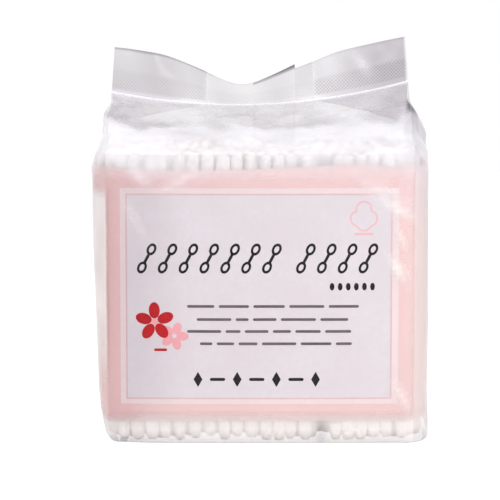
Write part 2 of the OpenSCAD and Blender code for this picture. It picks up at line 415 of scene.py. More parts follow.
# The bends at the creases are eased over a few steps to each side
route = route_points(band_room)
crease_ease = 3
eased = route.copy()
for k in range(crease_ease, len(route) - crease_ease):
    eased[k] = route[k - crease_ease:k + crease_ease + 1].mean(0)
# Lengths along the sheet count from the middle of the front
run = np.concatenate([[0], np.cumsum(np.hypot(*np.diff(eased, axis=0).T))])
middle = np.argmin(np.where(eased[:, 1] < 0, np.abs(eased[:, 0]), np.inf))
run = run - run[middle] + eased[middle, 0]


def ring_of_points(x, z, wide, high, turn=0, count=20):
    """The outline of an ellipse."""
    angles = np.arange(count) * math.tau / count
    across, up = wide * np.cos(angles), high * np.sin(angles)
    c, s = math.cos(math.radians(turn)), math.sin(math.radians(turn))
    return [(x + a * c - u * s, z + a * s + u * c) for a, u in zip(across, up)]


def bar(x0, x1, z, high):
    """The outline of a bar with round ends."""
    r = high / 2
    right = [(x1 - r + r * math.sin(a), z + r * math.cos(a)) for a in np.linspace(0, math.pi, 7)]
    left = [(x0 + r - r * math.sin(a), z - r * math.cos(a)) for a in np.linspace(0, math.pi, 7)]
    return right + left


def plate(x0, z0, x1, z1):
    """The outline of a rectangle."""
    return [(x0, z0), (x1, z0), (x1, z1), (x0, z1)]


# The drawn swabs: their height, their slant in degrees, their buds and how thick the lines are
swab_tall = 7.6
swab_slant = 28
bud_long = 3.3
bud_wide = 2.4
bud_end_line = 0.74
bud_side_line = 0.62
stick_line = 0.75
stick_into_bud = 0.1


def drawn_swab(x, z):
    """A slanting cotton swab in line: an oval bud at both ends of a thin stick."""
    c, s = math.cos(math.radians(swab_slant)), math.sin(math.radians(swab_slant))
    reach = swab_tall / (2 * c) - bud_long / 2
    far = reach - bud_long / 2 + stick_into_bud
    side = stick_line / 2
    turn = 90 - swab_slant
    corners = [(-far, -side), (far, -side), (far, side), (-far, side)]
    drawing = [("ink", [(x + a * s + b * c, z + a * c - b * s) for a, b in corners])]
    for way in (-1, 1):
        px, pz = x + way * reach * s, z + way * reach * c
        long, wide = bud_long / 2, bud_wide / 2
        drawing.append(("ink", ring_of_points(px, pz, long, wide, turn, 24)))
        hollow = ring_of_points(px, pz, long - bud_end_line, wide - bud_side_line, turn, 18)
        drawing.append(("panel", hollow))
    return drawing


def petals(colour, x, z, long, wide, start, gap, count=5):
    """A ring of petals round a point, the first at the start angle and all a gap away from it."""
    drawing = []
    for k in range(count):
        angle = start + 360 * k / count
        reach = gap + long / 2
        px = x + reach * math.cos(math.radians(angle))
        pz = z + reach * math.sin(math.radians(angle))
        drawing.append((colour, ring_of_points(px, pz, long / 2, wide / 2, angle, 18)))
    return drawing


# The print: what comes later lies over what comes before. First a frame round a pale panel
frame_foot = 10.5
border = plate(-36.3, frame_foot, 35.9, 66.4)
border_inside = plate(-34.9, 11.7, 34.2, 65.0)
panel_edge = plate(-34.5, 12.1, 33.8, 64.6)
print_shapes = [("border", border), ("edge", border_inside), ("panel", panel_edge)]

# A line of drawn swabs, in a long and a short group, and a row of beads under its end
swab_step = 5.4
for start, count in ((-29.4, 7), (11.8, 4)):
    for k in range(count):
        print_shapes += drawn_swab(start + swab_step * k, 48.3)
bead_step = 2.1
for k in range(6):
    print_shapes.append(("ink", ring_of_points(18.6 + bead_step * k, 41.0, 0.62, 1.0, 0, 16)))

# Four lines of dashes of many lengths
dash_high = 0.72
dash_gap = 1.1
shortest_dash = 3.2
longest_dash = 9.5
least_left = 2
dash_luck = random.Random(5)
for line_z, line_start, line_end in (
    (35.9, -19.0, 26.8), (32.5, -16.5, 25.3), (29.4, -19.0, 24.5), (26.2, -15.7, 26.6),
):
    at = line_start
    while at < line_end - least_left:
        long = min(dash_luck.uniform(shortest_dash, longest_dash), line_end - at)
        print_shapes.append(("faint ink", bar(at, at + long, line_z, dash_high)))
        at += long + dash_gap

# A row of four lozenges with a dash between each two
lozenges_z = 16.9
lozenges_start = -16.2
lozenges_long = 30.6
for k in range(7):
    x = lozenges_start + lozenges_long * k / 6
    if k % 2:
        print_shapes.append(("ink", bar(x - 2.0, x + 2.0, lozenges_z, 0.8)))
    else:
        print_shapes.append(("ink", ring_of_points(x, lozenges_z, 1.15, 2.0, 0, 4)))

# A small blossom half under a large one, a short bar below them, and the outline of a cotton boll
# over a thin bar
print_shapes += petals("rose ink", -22.3, 28.2, long=3.2, wide=2.3, start=70, gap=0.5)
print_shapes.append(("red ink", bar(-27.6, -24.2, 24.6, 0.7)))
print_shapes += petals("red ink", -27.4, 31.9, long=4.3, wide=2.9, start=20, gap=0.8)
print_shapes.append(("rose ink", ring_of_points(-27.4, 31.9, 0.9, 0.9)))
for colour, radius in (("soft rose ink", 2.15), ("panel", 1.75)):
    for x, z in ((25.3, 58.6), (28.3, 58.6), (26.8, 61.0), (26.8, 57.4)):
        print_shapes.append((colour, ring_of_points(x, z, radius, radius, 0, 24)))
print_shapes.append(("soft rose ink", bar(24.4, 29.2, 54.6, 0.55)))

# On the sheet the print stands a touch higher, and is a touch taller, than it is drawn here
printed_foot = 10.55
print_stretch = 1.0095
print_shapes = [
    (colour, [(x, printed_foot + (z - frame_foot) * print_stretch) for x, z in outline])
    for colour, outline in print_shapes
]

# The flat sheet is cut into small faces along a grid and along every outline
sheet_start, sheet_end = float(run[0]), float(run[-1])
grid_s = np.linspace(sheet_start, sheet_end, 190)
grid_z = np.linspace(band_low, band_high, 23)
flat_points = []
flat_lines = []


def add_line(points, closed):
    """Adds an outline or a straight line to what the sheet is cut along."""
    start = len(flat_points)
    flat_points.extend(Vector((float(a), float(b))) for a, b in points)
    count = len(points)
    for k in range(count if closed else count - 1):
        flat_lines.append((start + k, start + (k + 1) % count))


for s in grid_s:
    add_line([(s, band_low), (s, band_high)], False)
for z in grid_z:
    add_line([(sheet_start, z), (sheet_end, z)], False)
for colour, outline in print_shapes:
    add_line(outline, True)
cut = delaunay_2d_cdt(flat_points, flat_lines, [], 0, 1e-5)
sheet_points = np.array([tuple(v) for v in cut[0]])
sheet_faces = [tuple(face) for face in cut[2]]
middles = np.array([sheet_points[list(face)].mean(0) for face in sheet_faces])
inks = ["ground", "border", "edge", "panel", "ink", "faint ink", "red ink", "rose ink", "soft rose ink"]
face_ink = np.zeros(len(sheet_faces), int)
for colour, outline in print_shapes:
    inside = np.zeros(len(sheet_faces), bool)
    for (x0, z0), (x1, z1) in zip(outline, outline[1:] + outline[:1]):
        if z0 == z1:
            continue
        crosses = (z0 > middles[:, 1]) != (z1 > middles[:, 1])
        where = x0 + (x1 - x0) * (middles[:, 1] - z0) / (z1 - z0)
        inside ^= crosses & (middles[:, 0] < where)
    face_ink[inside] = inks.index(colour)

# The sheet's top edge sags at the left and stands up at the right, as heights over its even edge
edge_places = [-60, -39, -36, -31, -20.5, -5, 10.5, 26, 35, 37.5, 60]
edge_sags = [0, 0.2, -0.3, -0.5, -0.75, -0.5, 0.2, 0.9, 0.2, 0.4, 0]
sag_low = 67.6
near_edge = np.clip((sheet_points[:, 1] - sag_low) / (band_high - sag_low), 0, 1)
sag = near_edge * np.interp(sheet_points[:, 0], edge_places, edge_sags)

# The flat sheet is bent along its route. Its sides bulge with the bag, and the paper ripples
sheet_x = np.interp(sheet_points[:, 0], run, eased[:, 0])
sheet_y = np.interp(sheet_points[:, 0], run, eased[:, 1])
on_side = np.clip((np.abs(sheet_x) - 36) / 3, 0, 1) * np.clip(1 - (sheet_y / crease_y) ** 4, 0, 1)
side_out = bulge_at(sheet_x, sheet_points[:, 1] * mm) / mm
sheet_x = sheet_x + np.sign(sheet_x) * on_side * side_out
ripple_high = 0.06
ripple = ripple_high * np.sin(sheet_points[:, 0] / 4.1) * np.sin(sheet_points[:, 1] / 9.0 + 1)
sheet_y = sheet_y * (1 + ripple / crease_y - ripple_high / crease_y)
band_mesh = bpy.data.meshes.new("printed_band")
band_mesh.from_pydata(
    (np.stack([sheet_x, sheet_y, sheet_points[:, 1] + sag], 1) * mm).tolist(), [], sheet_faces
)
band_mesh.polygons.foreach_set("use_smooth", [True] * len(sheet_faces))
band_mesh.polygons.foreach_set("material_index", face_ink.tolist())
band = bpy.data.objects.new("printed_band", band_mesh)
bpy.context.scene.collection.objects.link(band)
# Stretch and scales of the paper's fibres, and strength and depth of their bumps
paper_finish = ((1, 1, 1), 700, 90, 0.12, 0.00008)
for name, light, dark in (
    ("printed pink paper", (228, 191, 191), (224, 186, 186)),
    ("white border", (231, 213, 214), (227, 208, 210)),
    ("rose edge line", (216, 184, 189), (210, 178, 183)),
    ("pale panel", (219, 212, 217), (215, 207, 212)),
    ("black ink", (14, 8, 11), (26, 18, 21)),
    ("grey ink", (92, 82, 86), (106, 96, 100)),
    ("red ink", (178, 10, 20), (188, 22, 30)),
    ("rose ink", (238, 170, 176), (232, 162, 168)),
    ("soft rose ink", (232, 182, 186), (228, 176, 180)),
):
    printed = fibrous(name, linear(*light), linear(*dark), 0.6, *paper_finish)
    printed.node_tree.nodes["Principled BSDF"].inputs["Specular IOR Level"].default_value = 0.12
    band_mesh.materials.append(printed)
bpy.context.view_layer.objects.active = band
band.select_set(True)
thickness = band.modifiers.new("paper thickness", "SOLIDIFY")
thickness.thickness = band_thick * mm
thickness.offset = -1
bpy.ops.object.modifier_apply(modifier="paper thickness")
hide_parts("paper_band")
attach(band, "root")


# Film bag: clear film folded into a tube with a tucked gusset on each side, filled, and closed by
# a knurled heat seal across the top. The header above the seal waves and leans back.
body_top = 75.7
shoulder_rise = 11.2
seal_lift_left = 3.4
seal_lift_right = 6.3
dip_x = -6
header_high = 11.95
header_taper = 0.016
# How far the header leans back, in degrees, at widths from left to right
lean_places = [
    -39.5, -35, -30, -26.5, -22.7, -18.7, -14.7, -10.7, -6.7, -4.5,
    -1.3, 1.4, 5.4, 9.4, 14.2, 17.4, 21.4, 26, 30, 34, 39.5,
]
leans = [
    18, 7, 3, 11, 26, 37, 49, 59, 67, 68, 65, 60, 54, 46, 38, 28, 16, 8, 4, 7, 18,
]
# How far the back film's top edge stands above the front film's
back_rise = 0.4
ply = 0.15
fold_x = 14.5
# The lap up the back: where its edges run, and how far its end stands above the header at each
lap_left = -1.75
lap_right = 9.55
lap_rises = [0.5, 1.7]
# The foot has the outline of the body's lowest part, drawn in by a rounding at widths from left to
# right
foot_high = 2
foot_places = [-42, -30, 30, 42]
foot_rounds = [3.3, 1.6, 1.5, 1.1]
foot_half_wide = 44
foot_half_deep = 25.5
# How softly the front and back bend over the swabs' heads: 1 is a sharp bend. Its start is softer
# still, and the higher the power, the sooner that ends
shoulder_bend = 1.05
start_softness = 0.8
softness_power = 9
# Share of the shoulders' height at which the gussets start to tuck in
tuck_left = 0.43
tuck_right = 0.33


def seal_height(x):
    """Height of the seal line at a width."""
    lift = np.where(x < dip_x, seal_lift_left, seal_lift_right)
    span = np.where(x < dip_x, -crease_x, crease_x) - dip_x
    return body_top + shoulder_rise + lift * ((x - dip_x) / span) ** 2


def header_lean(x):
    """Backward lean of the header at a width, in radians."""
    near = [np.interp(x + away, lean_places, leans) for away in (-2.5, -1.2, 0, 1.2, 2.5)]
    return np.radians(np.mean(near, 0))


# Columns run round the bag: the front from left to right, the right gusset, the back, the left
# gusset. A gusset's share runs from 0 at its crease to 1 at its inner fold.
# Columns of their own follow the folds and the lap's edges.
panel_steps = 96
gusset_steps = 26
fold_line = 0.22
lap_line = 0.1
ply_edge = 0.1
ply_room = 0.03
column_room = 0.25
special_x = [side * fold_x + off for side in (-1, 1) for off in (-fold_line, 0, fold_line)]
special_x += [lap_left - lap_line, lap_left, lap_right, lap_right + lap_line]
plain_x = np.linspace(-crease_x, crease_x, panel_steps + 1)
kept_x = [x for x in plain_x if min(abs(x - s) for s in special_x) > column_room]
panel_x = np.array(sorted(kept_x + special_x))
panel_n = len(panel_x)
shares = np.linspace(0, 1, gusset_steps + 1)[1:]
gusset_run = np.concatenate([shares, shares[-2::-1]])
gusset_half = np.concatenate([-np.ones(gusset_steps), np.ones(gusset_steps - 1)])
columns = 2 * panel_n + 2 * len(gusset_run)
front_c = np.arange(panel_n)
right_c = panel_n + np.arange(len(gusset_run))
back_c = panel_n + len(gusset_run) + np.arange(panel_n)
left_c = 2 * panel_n + len(gusset_run) + np.arange(len(gusset_run))

# Rings run from the ground up: the round foot, the filled body, the closing shoulders and, closest
# just over the seal line, the header
foot_angles = np.linspace(0, math.pi / 2, 8)
body_low = 3.9
body_heights = np.linspace(body_low, body_top, 50)
closing = np.linspace(0, 1, 31)[1:]
header_shares = np.concatenate([[0.012, 0.026, 0.045, 0.07], np.linspace(0.1, 1, 22)])


def plies_at(x):
    """How many plies of film lie on each other in the seal at a width."""
    return np.where(np.abs(x) > fold_x - ply_edge, 4, 2)


def body_ring(z):
    """The bag's outline at a height of the filled body."""
    x, y = np.zeros(columns), np.zeros(columns)
    x[front_c], y[front_c] = panel_x, -front_at(panel_x)
    x[back_c], y[back_c] = panel_x[::-1], front_at(panel_x[::-1])
    for group, side in ((right_c, 1), (left_c, -1)):
        depth = gusset_half * (1 - gusset_run) * side
        y[group] = depth * crease_y
        # The right side is squarer near the ground
        squareness = 4 + 6 * (side > 0) * max(0, 1 - z / 12)
        swell = 1 - np.abs(depth) ** squareness
        x[group] = side * (crease_x + bulge_at(side, z * mm) / mm * swell)
    return x, y


def shoulder_ring(u):
    """The bag's outline on the shoulders: 0 is the filled body, 1 is the seal line."""
    x, y, z = np.zeros(columns), np.zeros(columns), np.zeros(columns)
    plies = plies_at(panel_x) * ply / 2
    x[front_c], x[back_c] = panel_x, panel_x[::-1]
    gone = u ** (shoulder_bend + start_softness * (1 - u) ** softness_power)
    y[front_c] = -front_at(panel_x) * (1 - gone) - plies * gone
    y[back_c] = (front_at(panel_x) * (1 - gone) + plies * gone)[::-1]
    z[front_c] = body_top + (seal_height(panel_x) - body_top) * u
    z[back_c] = z[front_c][::-1]
    # Each side bulges round a peak, more roundly going up. As the gusset tucks in, the peak moves
    # from the inner fold towards the creases, and the film beyond it turns inwards.
    flatness = 4 - 2 * min(1, u / 0.3)
    for group, side, start in ((right_c, 1, tuck_right), (left_c, -1, tuck_left)):
        f = gusset_run
        folded = max(0, (u - start) / (1 - start))
        peak = 1 - 0.62 * min(1, 2.6 * folded)
        tuck = np.clip((f - peak) / max(1 - peak, 0.05), 0, 1)
        tuck = tuck ** 2 * (3 - 2 * tuck) * (1 - folded ** 2) + f * folded ** 2
        depth = crease_y * folded * tuck
        edge = side * (crease_x - depth)
        height = body_top + (seal_height(np.clip(edge, -crease_x, crease_x)) - body_top) * u
        swell = np.where(f < peak, 1 - (np.abs(f - peak) / peak) ** flatness, 1 - tuck)
        x[group] = edge + side * bulge_at(side, height * mm) / mm * swell
        y[group] = gusset_half * side * (crease_y * (1 - gone) * (1 - f) + ply_room * (f < 1))
        z[group] = height
    return x, y, z


levels = []
for angle in foot_angles:
    x, y = body_ring(foot_high * (1 - math.cos(angle)))
    foot = np.interp(x, foot_places, foot_rounds)
    inset = foot * (1 - math.sin(angle))
    rise = foot * (1 - math.cos(angle))
    levels.append((x * (1 - inset / foot_half_wide), y * (1 - inset / foot_half_deep), rise))
for z in body_heights:
    x, y = body_ring(z)
    levels.append((x, y, x * 0 + z))
body_count = len(levels)
for u in closing:
    levels.append(shoulder_ring(u))
bag = np.array(levels).transpose(0, 2, 1)
closed = np.concatenate([np.zeros(body_count), closing])


def crumple(points, scale, seed, count=6):
    """Folds of film: straight creases in many directions, mostly between -1 and 1."""
    dice = np.random.default_rng(seed)
    total = np.zeros(points.shape[:-1])
    for _ in range(count):
        direction = dice.normal(size=3)
        direction /= np.linalg.norm(direction)
        wave = points @ direction / (scale * dice.uniform(0.7, 1.5)) + dice.uniform(0, 1)
        total += 4 * np.abs(wave - np.floor(wave + 0.5)) - 1
    return total / math.sqrt(count)


# The film stands proud in soft creases, most on the shoulders and least over the paper band. Each
# kind of crease has its height here.
shoulder_crease = 0.55
pucker = 0.22
body_crease = 0.05
tab_crease = 0.5
around = np.roll(bag, -1, 1) - np.roll(bag, 1, 1)
upward = np.gradient(bag, axis=0)
outward = np.cross(around, upward)
outward /= np.maximum(np.linalg.norm(outward, axis=2, keepdims=True), 1e-9)
height = bag[:, :, 2]
slope = closed[:, None] * np.ones(columns)
shoulder_room = np.clip(slope * 5, 0, 1) * np.clip((1 - slope) * 4, 0, 1)
near_top = np.clip((height - 66) / 9, 0, 1) * np.clip(1 - slope * 5, 0, 1)
folds = shoulder_crease * shoulder_room * (crumple(bag, 15, 3) + 0.5 * crumple(bag, 6, 4))
folds += near_top * (pucker + pucker * crumple(bag, 9, 5))
folds += body_crease * (1 + crumple(bag, 24, 6)) * (slope == 0)
# The left tab is the thin end of film under the header's left end, full of small creases
left_tab = np.clip((-bag[:, :, 0] - 31) / 5, 0, 1) * np.clip((slope - 0.3) * 4, 0, 1)
left_tab *= np.clip((1 - slope) * 8, 0, 1)
folds += tab_crease * left_tab * crumple(bag, 4, 7)
is_gusset = np.zeros(columns, bool)
is_gusset[right_c] = True
is_gusset[left_c] = True
folds[:, is_gusset] *= np.clip(1.2 - slope[:, is_gusset] * 1.2, 0.05, 1)
bag = bag + outward * folds[:, :, None]
bag[:, :, 2] = np.maximum(bag[:, :, 2], 0)

# Header: the front and back films above the seal line, sealed to each other
header_x = np.concatenate([panel_x, panel_x[::-1]])
header_side = np.concatenate([-np.ones(panel_n), np.ones(panel_n)])
on_lap = (header_side > 0) & (header_x > lap_left - 0.05) & (header_x < lap_right + 0.05)
header_plies = plies_at(header_x)
header_rings = []
for v in header_shares:
    lean = header_lean(header_x)
    lap_rise = on_lap * np.interp(header_x, [lap_left, lap_right], lap_rises)
    high = header_high * v + (header_side > 0) * (back_rise + lap_rise) * v
    thick = header_plies * ply / 2 + on_lap * ply
    turn = lean * min(1, 2 * v)
    # A short and a long wave run along the header, and grow towards its top edge
    wave = 0.3 * v * np.sin(header_x / 3.1 + 0.8) + 0.4 * v * np.sin(header_x / 8.3)
    header_rings.append(np.stack([
        header_x * (1 - header_taper * v),
        high * np.sin(lean) + header_side * thick * np.cos(turn) + wave,
        seal_height(header_x) + high * np.cos(lean) - header_side * thick * np.sin(turn),
    ], 1))
header = np.array(header_rings)
header_dent = 0.3
header_flat = header * np.array([1, 0, 1])
header[:, :, 1] += header_dent * header_shares[:, None] * crumple(header_flat, 9, 8, 4)


def fade(values, start, end):
    """Rises softly from 0 at the start to 1 at the end."""
    share = np.clip((values - start) / (end - start), 0, 1)
    return share * share * (3 - 2 * share)


def streak(across, up, spot_x, spot_z, angle, long, wide):
    """A long soft spot, 1 at its middle, of painted glare or painted shade."""
    c, s = math.cos(math.radians(angle)), math.sin(math.radians(angle))
    along = (across - spot_x) * c + (up - spot_z) * s
    aside = (up - spot_z) * c - (across - spot_x) * s
    return np.exp(-(along / long) ** 2 - (aside / wide) ** 2)


# How dull, how milky and how knurled the film is at each point, each from 0 to 1. Dull film keeps
# light back, milky film scatters it, and knurled film has the seal's small diamonds pressed in.
# In places the dullness is painted shade, and the milkiness painted glare and highlights.
bag_x = bag[:, :, 0]
bag_y = bag[:, :, 1]
facets = crumple(bag, 13, 9, 5)
ragged = slope + 0.07 * crumple(bag, 11, 15, 4)
low_shoulder = fade(height, 67, 76) * fade(ragged, 0.6, 0.44)
high_shoulder = fade(ragged, 0.44, 0.6)

# Shoulders: darker over the swabs' heads, where the film closes in several plies, and on the tab
bag_dull_and_shade = 0.015 + 0.02 * low_shoulder * (1 + facets)
sheet_dull = 0.09 + 0.05 * fade(np.abs(bag_x), 17, 13) + 0.05 * fade(bag_x, 14, 36)
tuck_dull = np.where(bag_x > 0, 0.17, 0.06)
bag_dull_and_shade += high_shoulder * np.where(is_gusset, tuck_dull, sheet_dull + 0.025 * facets)
bag_dull_and_shade += 0.09 * left_tab * (1 + crumple(bag, 3, 12))
# Foot: painted shade where the film turns under, and hazy over the swabs' lower tips, a haze that also
# paints light into the shade between them
bag_dull_and_shade += 0.16 * fade(height, 2.6, 0.8) + 0.2 * fade(height, 0.7, 0.1)
bag_milk_and_glare = 0.38 * fade(height, 8.2, 5.6) * (0.3 + 0.7 * fade(height, 0.8, 3.4))
# Ear: what still stands out past the right crease above the swabs, seen edge on and so darker
ear = is_gusset * fade(bag_x, 39.3, 40.2) * fade(height, 75, 78)
bag_dull_and_shade += 0.75 * ear + 0.035 * low_shoulder * fade(bag_x, 8, 24)
# Beside the swabs' upper tips the film is hazy, with painted glare on it as well
bag_milk_and_glare += low_shoulder * (0.4 + 0.09 * facets + 0.08 * fade(bag_x, -8, -28))
# In front of the gap in the swabs the film is clear, and a streak of painted shade darkens what is seen
# through it
gap_x = round(gap_place / mm, 2)
at_front = bag_y < -20
bag_milk_and_glare -= 0.3 * streak(bag_x, height, gap_x, 3.2, 90, 2.6, 1.5) * at_front
bag_dull_and_shade += 0.26 * streak(bag_x, height, gap_x, 2.6, 90, 2.8, 1.8) * at_front
bag_milk_and_glare += 0.09 * high_shoulder * (1 + facets)

# Front: painted highlight along the panel's right, upper and lower margins, where the film bends away,
# and a little painted shade at the left
on_front = np.zeros(columns, bool)
on_front[front_c] = True
flat = on_front * (slope == 0)
glare_margin = np.maximum(fade(bag_x, 33, 38), 0.8 * fade(height, 64, 70))
glare_margin = np.maximum(glare_margin, 0.85 * fade(height, 14, 10)) * fade(height, 75.5, 71)
bag_milk_and_glare += 0.22 * flat * glare_margin * fade(bag_x, -36, -28)
bag_dull_and_shade += 0.1 * flat * fade(bag_x, -17, -34) * fade(height, 74, 68)
# Soft spots of glare on the front: place, angle, length, width and strength
for spot_x, spot_z, angle, long, wide, strength in (
    (34.5, 62.0, -28, 5.0, 1.5, 0.55), (35.2, 46.5, -58, 3.6, 1.4, 0.6),
    (31.0, 66.5, -20, 5.0, 1.6, 0.35), (36.4, 54.0, -70, 3.0, 0.9, 0.4),
    (-33.0, 60.0, -62, 6.0, 1.6, 0.25), (-22.0, 68.0, 25, 5.0, 1.2, 0.3),
    (36.6, 13.0, -62, 4.0, 1.1, 0.4), (-31.5, 70.0, -40, 4.0, 1.4, 0.3),
):
    bag_milk_and_glare += strength * flat * streak(bag_x, height, spot_x, spot_z, angle, long, wide)

# Sides: painted glare over the paper on the left, most near its front, the right one pale over the paper,
# and both pale along the inner folds
on_left = is_gusset * (bag_x < -39)
on_right = is_gusset * (bag_x > 39)
left_painted_glare = 0.72 * fade(height, 12, 30) * fade(height, 68, 64) * fade(bag_y, 16, -8)
bag_milk_and_glare += on_left * left_painted_glare * (1 + 0.12 * facets)
bag_milk_and_glare += 0.48 * on_right * fade(height, 76, 68) * fade(height, 4, 9)
gusset_share = np.zeros(columns)
gusset_share[right_c] = gusset_run
gusset_share[left_c] = gusset_run
bag_milk_and_glare += 0.22 * (gusset_share > 0.99) * fade(slope, 0.34, 0.4)

# The lap seam up the back is a strip of two plies with a pale line along each side
on_seam = (bag_y > 0) & (np.abs(bag_x - (lap_left + lap_right) / 2) < 5.7) & ~is_gusset
bag_dull_and_shade += 0.05 * on_seam
seam_edge = np.minimum(np.abs(bag_x - lap_left), np.abs(bag_x - lap_right))
bag_milk_and_glare += 0.26 * on_seam * np.clip(1 - seam_edge / 0.2, 0, 1)

# Header: darker at the left, where it has four plies, and towards the right. It is knurled from
# just over the seal line to a little past the middle, pale along the seal, where the whitened fold
# has a painted highlight, pale along the folds and the right end, and dull along its top edge.
knurl_low = 1.2
knurl_high = 6.6
share_up = np.repeat(header_shares[:, None], len(header_x), 1)
tall = share_up * header_high
four_ply = header_plies == 4
header_dull_and_shade = 0.13 + 0.1 * (four_ply & (header_x < 0)) + 0.2 * fade(header_x, 15, 38)
header_dull_and_shade = header_dull_and_shade + 0.04 * (header_x > lap_right) * (header_x < fold_x)
header_dull_and_shade = header_dull_and_shade + 0.035 * crumple(header_flat, 12, 14, 4)
# Painted shade in a dent near the right end of the header's front
header_dull_and_shade += 0.07 * streak(header_x, tall, 33.0, 9.0, 20, 4.0, 1.6) * (header_side < 0)
knurled = np.clip((tall - knurl_low) * 3, 0, 1) * np.clip((knurl_high - tall) * 1.2, 0, 1)
knurled *= np.where(four_ply, np.where(header_x < 0, 0.45, 1), 0.3)
edge_line = fade(share_up, 0.955, 0.975)
header_dull_and_shade += 0.34 * edge_line * np.where(header_x < -13, 1, 0.3)
# The lap's end stands above the header and is dull, most along its own edge
stands_over = on_lap * fade(share_up, 0.88, 0.92)
header_dull_and_shade += 0.5 * stands_over + 0.3 * on_lap * fade(share_up, 0.96, 0.99)
seal_milk_and_glare = 0.4
bag_milk_and_glare[-1, :] = seal_milk_and_glare
header_milk_and_glare = 0.75 * np.clip(1 - np.abs(tall - 0.1) / 0.24, 0, 1)
header_milk_and_glare += 0.15 * np.clip(1 - np.abs(np.abs(header_x) - fold_x) / 0.45, 0, 1)
header_milk_and_glare += 0.16 * fade(header_x, -12, -16) * fade(tall, 1.2, 0.8)
header_milk_and_glare += 0.5 * fade(np.abs(header_x), 39.0, 39.4) * (header_x > 0)
# Painted highlights on two wrinkles at the header's right
header_milk_and_glare += 0.3 * streak(header_x, tall, 27.5, 7.5, -58, 3.6, 1.3)
header_milk_and_glare += 0.16 * streak(header_x, tall, 19.0, 8.5, -60, 4.0, 2.2)

# The walls: each ring is joined to the one above it
film_points = np.concatenate([bag.reshape(-1, 3), header.reshape(-1, 3)])
film_faces = []
for level in range(len(bag) - 1):
    low = level * columns
    high = low + columns
    for k in range(columns):
        m = (k + 1) % columns
        film_faces.append((low + k, low + m, high + m, high + k))
top_row = (len(bag) - 1) * columns


def close_across(one, two):
    """Faces between two rows of points; corners that the rows share are named once."""
    for k in range(len(one) - 1):
        corners = [one[k], one[k + 1], two[k + 1], two[k]]
        film_faces.append(tuple(dict.fromkeys(int(c) for c in corners)))


# The bottom is closed from front to back, and so is each tucked gusset at the seal line
right_front = [front_c[-1], *right_c[:gusset_steps]]
right_back = [back_c[0], *right_c[::-1][:gusset_steps]]
left_back = [back_c[-1], *left_c[:gusset_steps]]
left_front = [front_c[0], *left_c[::-1][:gusset_steps]]
close_across(np.array(back_c[::-1]), np.array(front_c))
close_across(np.array(right_back), np.array(right_front))
close_across(np.array(left_front), np.array(left_back))
close_across(top_row + np.array(right_front), top_row + np.array(right_back))
close_across(top_row + np.array(left_back), top_row + np.array(left_front))

# The header stands on the front and back films, and is closed along its top edge
header_start = len(bag) * columns
header_n = len(header_x)
below = np.concatenate([top_row + front_c, top_row + back_c])
for level in range(len(header)):
    here = header_start + level * header_n + np.arange(header_n)
    for k in range(header_n):
        m = (k + 1) % header_n
        film_faces.append((int(below[k]), int(below[m]), int(here[m]), int(here[k])))
    below = here
close_across(below[:panel_n], below[panel_n:][::-1])

film_mesh = bpy.data.meshes.new("clear_film_bag")
film_mesh.from_pydata((film_points * mm).tolist(), [], film_faces)
for name, bag_values, header_values in (
    ("dull_and_shade", bag_dull_and_shade, header_dull_and_shade),
    ("milk_and_glare", bag_milk_and_glare, header_milk_and_glare),
    ("knurl", np.zeros(slope.shape), knurled),
):
    values = np.concatenate([bag_values.ravel(), header_values.ravel()])
    film_mesh.attributes.new(name, "FLOAT", "POINT").data.foreach_set(
        "value", np.clip(values, 0, 1).astype(np.float32)
    )
film = bpy.data.objects.new("clear_film_bag", film_mesh)
bpy.context.scene.collection.objects.link(film)
bpy.ops.object.select_all(action="DESELECT")
bpy.context.view_layer.objects.active = film
film.select_set(True)
bpy.ops.object.mode_set(mode="EDIT")
bpy.ops.mesh.select_all(action="SELECT")
bpy.ops.mesh.normals_make_consistent(inside=False)
bpy.ops.object.mode_set(mode="OBJECT")
bpy.ops.object.shade_smooth_by_angle(angle=math.radians(32))

# The material lets light through, and tints it where the film is dull or has painted shade. It
# mirrors more the more edge on it is seen, and turns to a pale haze where the film is milky or has
# painted glare.
front_shine = 0.015
edge_shine = 0.75
edge_power = 4
knurl_wave = 3500
knurl_dull = 0.2
film_look = bpy.data.materials.new("clear film")
film_look.use_nodes = True
tree = film_look.node_tree
gloss = tree.nodes["Principled BSDF"]
gloss.inputs["Base Color"].default_value = linear(250, 248, 249)
gloss.inputs["Metallic"].default_value = 1
gloss.inputs["Roughness"].default_value = 0.28
clear = tree.nodes.new("ShaderNodeBsdfTransparent")
haze_and_glare = add_node(tree, "ShaderNodeBsdfPrincipled", Roughness=0.6)
dull_and_shade = tree.nodes.new("ShaderNodeAttribute")
dull_and_shade.attribute_name = "dull_and_shade"
milk_and_glare = tree.nodes.new("ShaderNodeAttribute")
milk_and_glare.attribute_name = "milk_and_glare"
knurl = tree.nodes.new("ShaderNodeAttribute")
knurl.attribute_name = "knurl"
place = tree.nodes.new("ShaderNodeTexCoord")
tint = tree.nodes.new("ShaderNodeMix")
tint.data_type = "RGBA"
tint.inputs["A"].default_value = linear(254, 254, 254)
tint.inputs["B"].default_value = linear(150, 136, 151)


def maths(operation, a, b=None):
    """A Math node in the tree at hand; a and b are numbers or sockets."""
    node = tree.nodes.new("ShaderNodeMath")
    node.operation = operation
    for socket, value in zip(node.inputs, (a, b)):
        if value is None:
            continue
        if isinstance(value, (int, float)):
            socket.default_value = value
        else:
            tree.links.new(value, socket)
    return node.outputs["Value"]


spot = tree.nodes.new("ShaderNodeSeparateXYZ")
tree.links.new(place.outputs["Object"], spot.inputs["Vector"])
across, up = spot.outputs["X"], spot.outputs["Z"]
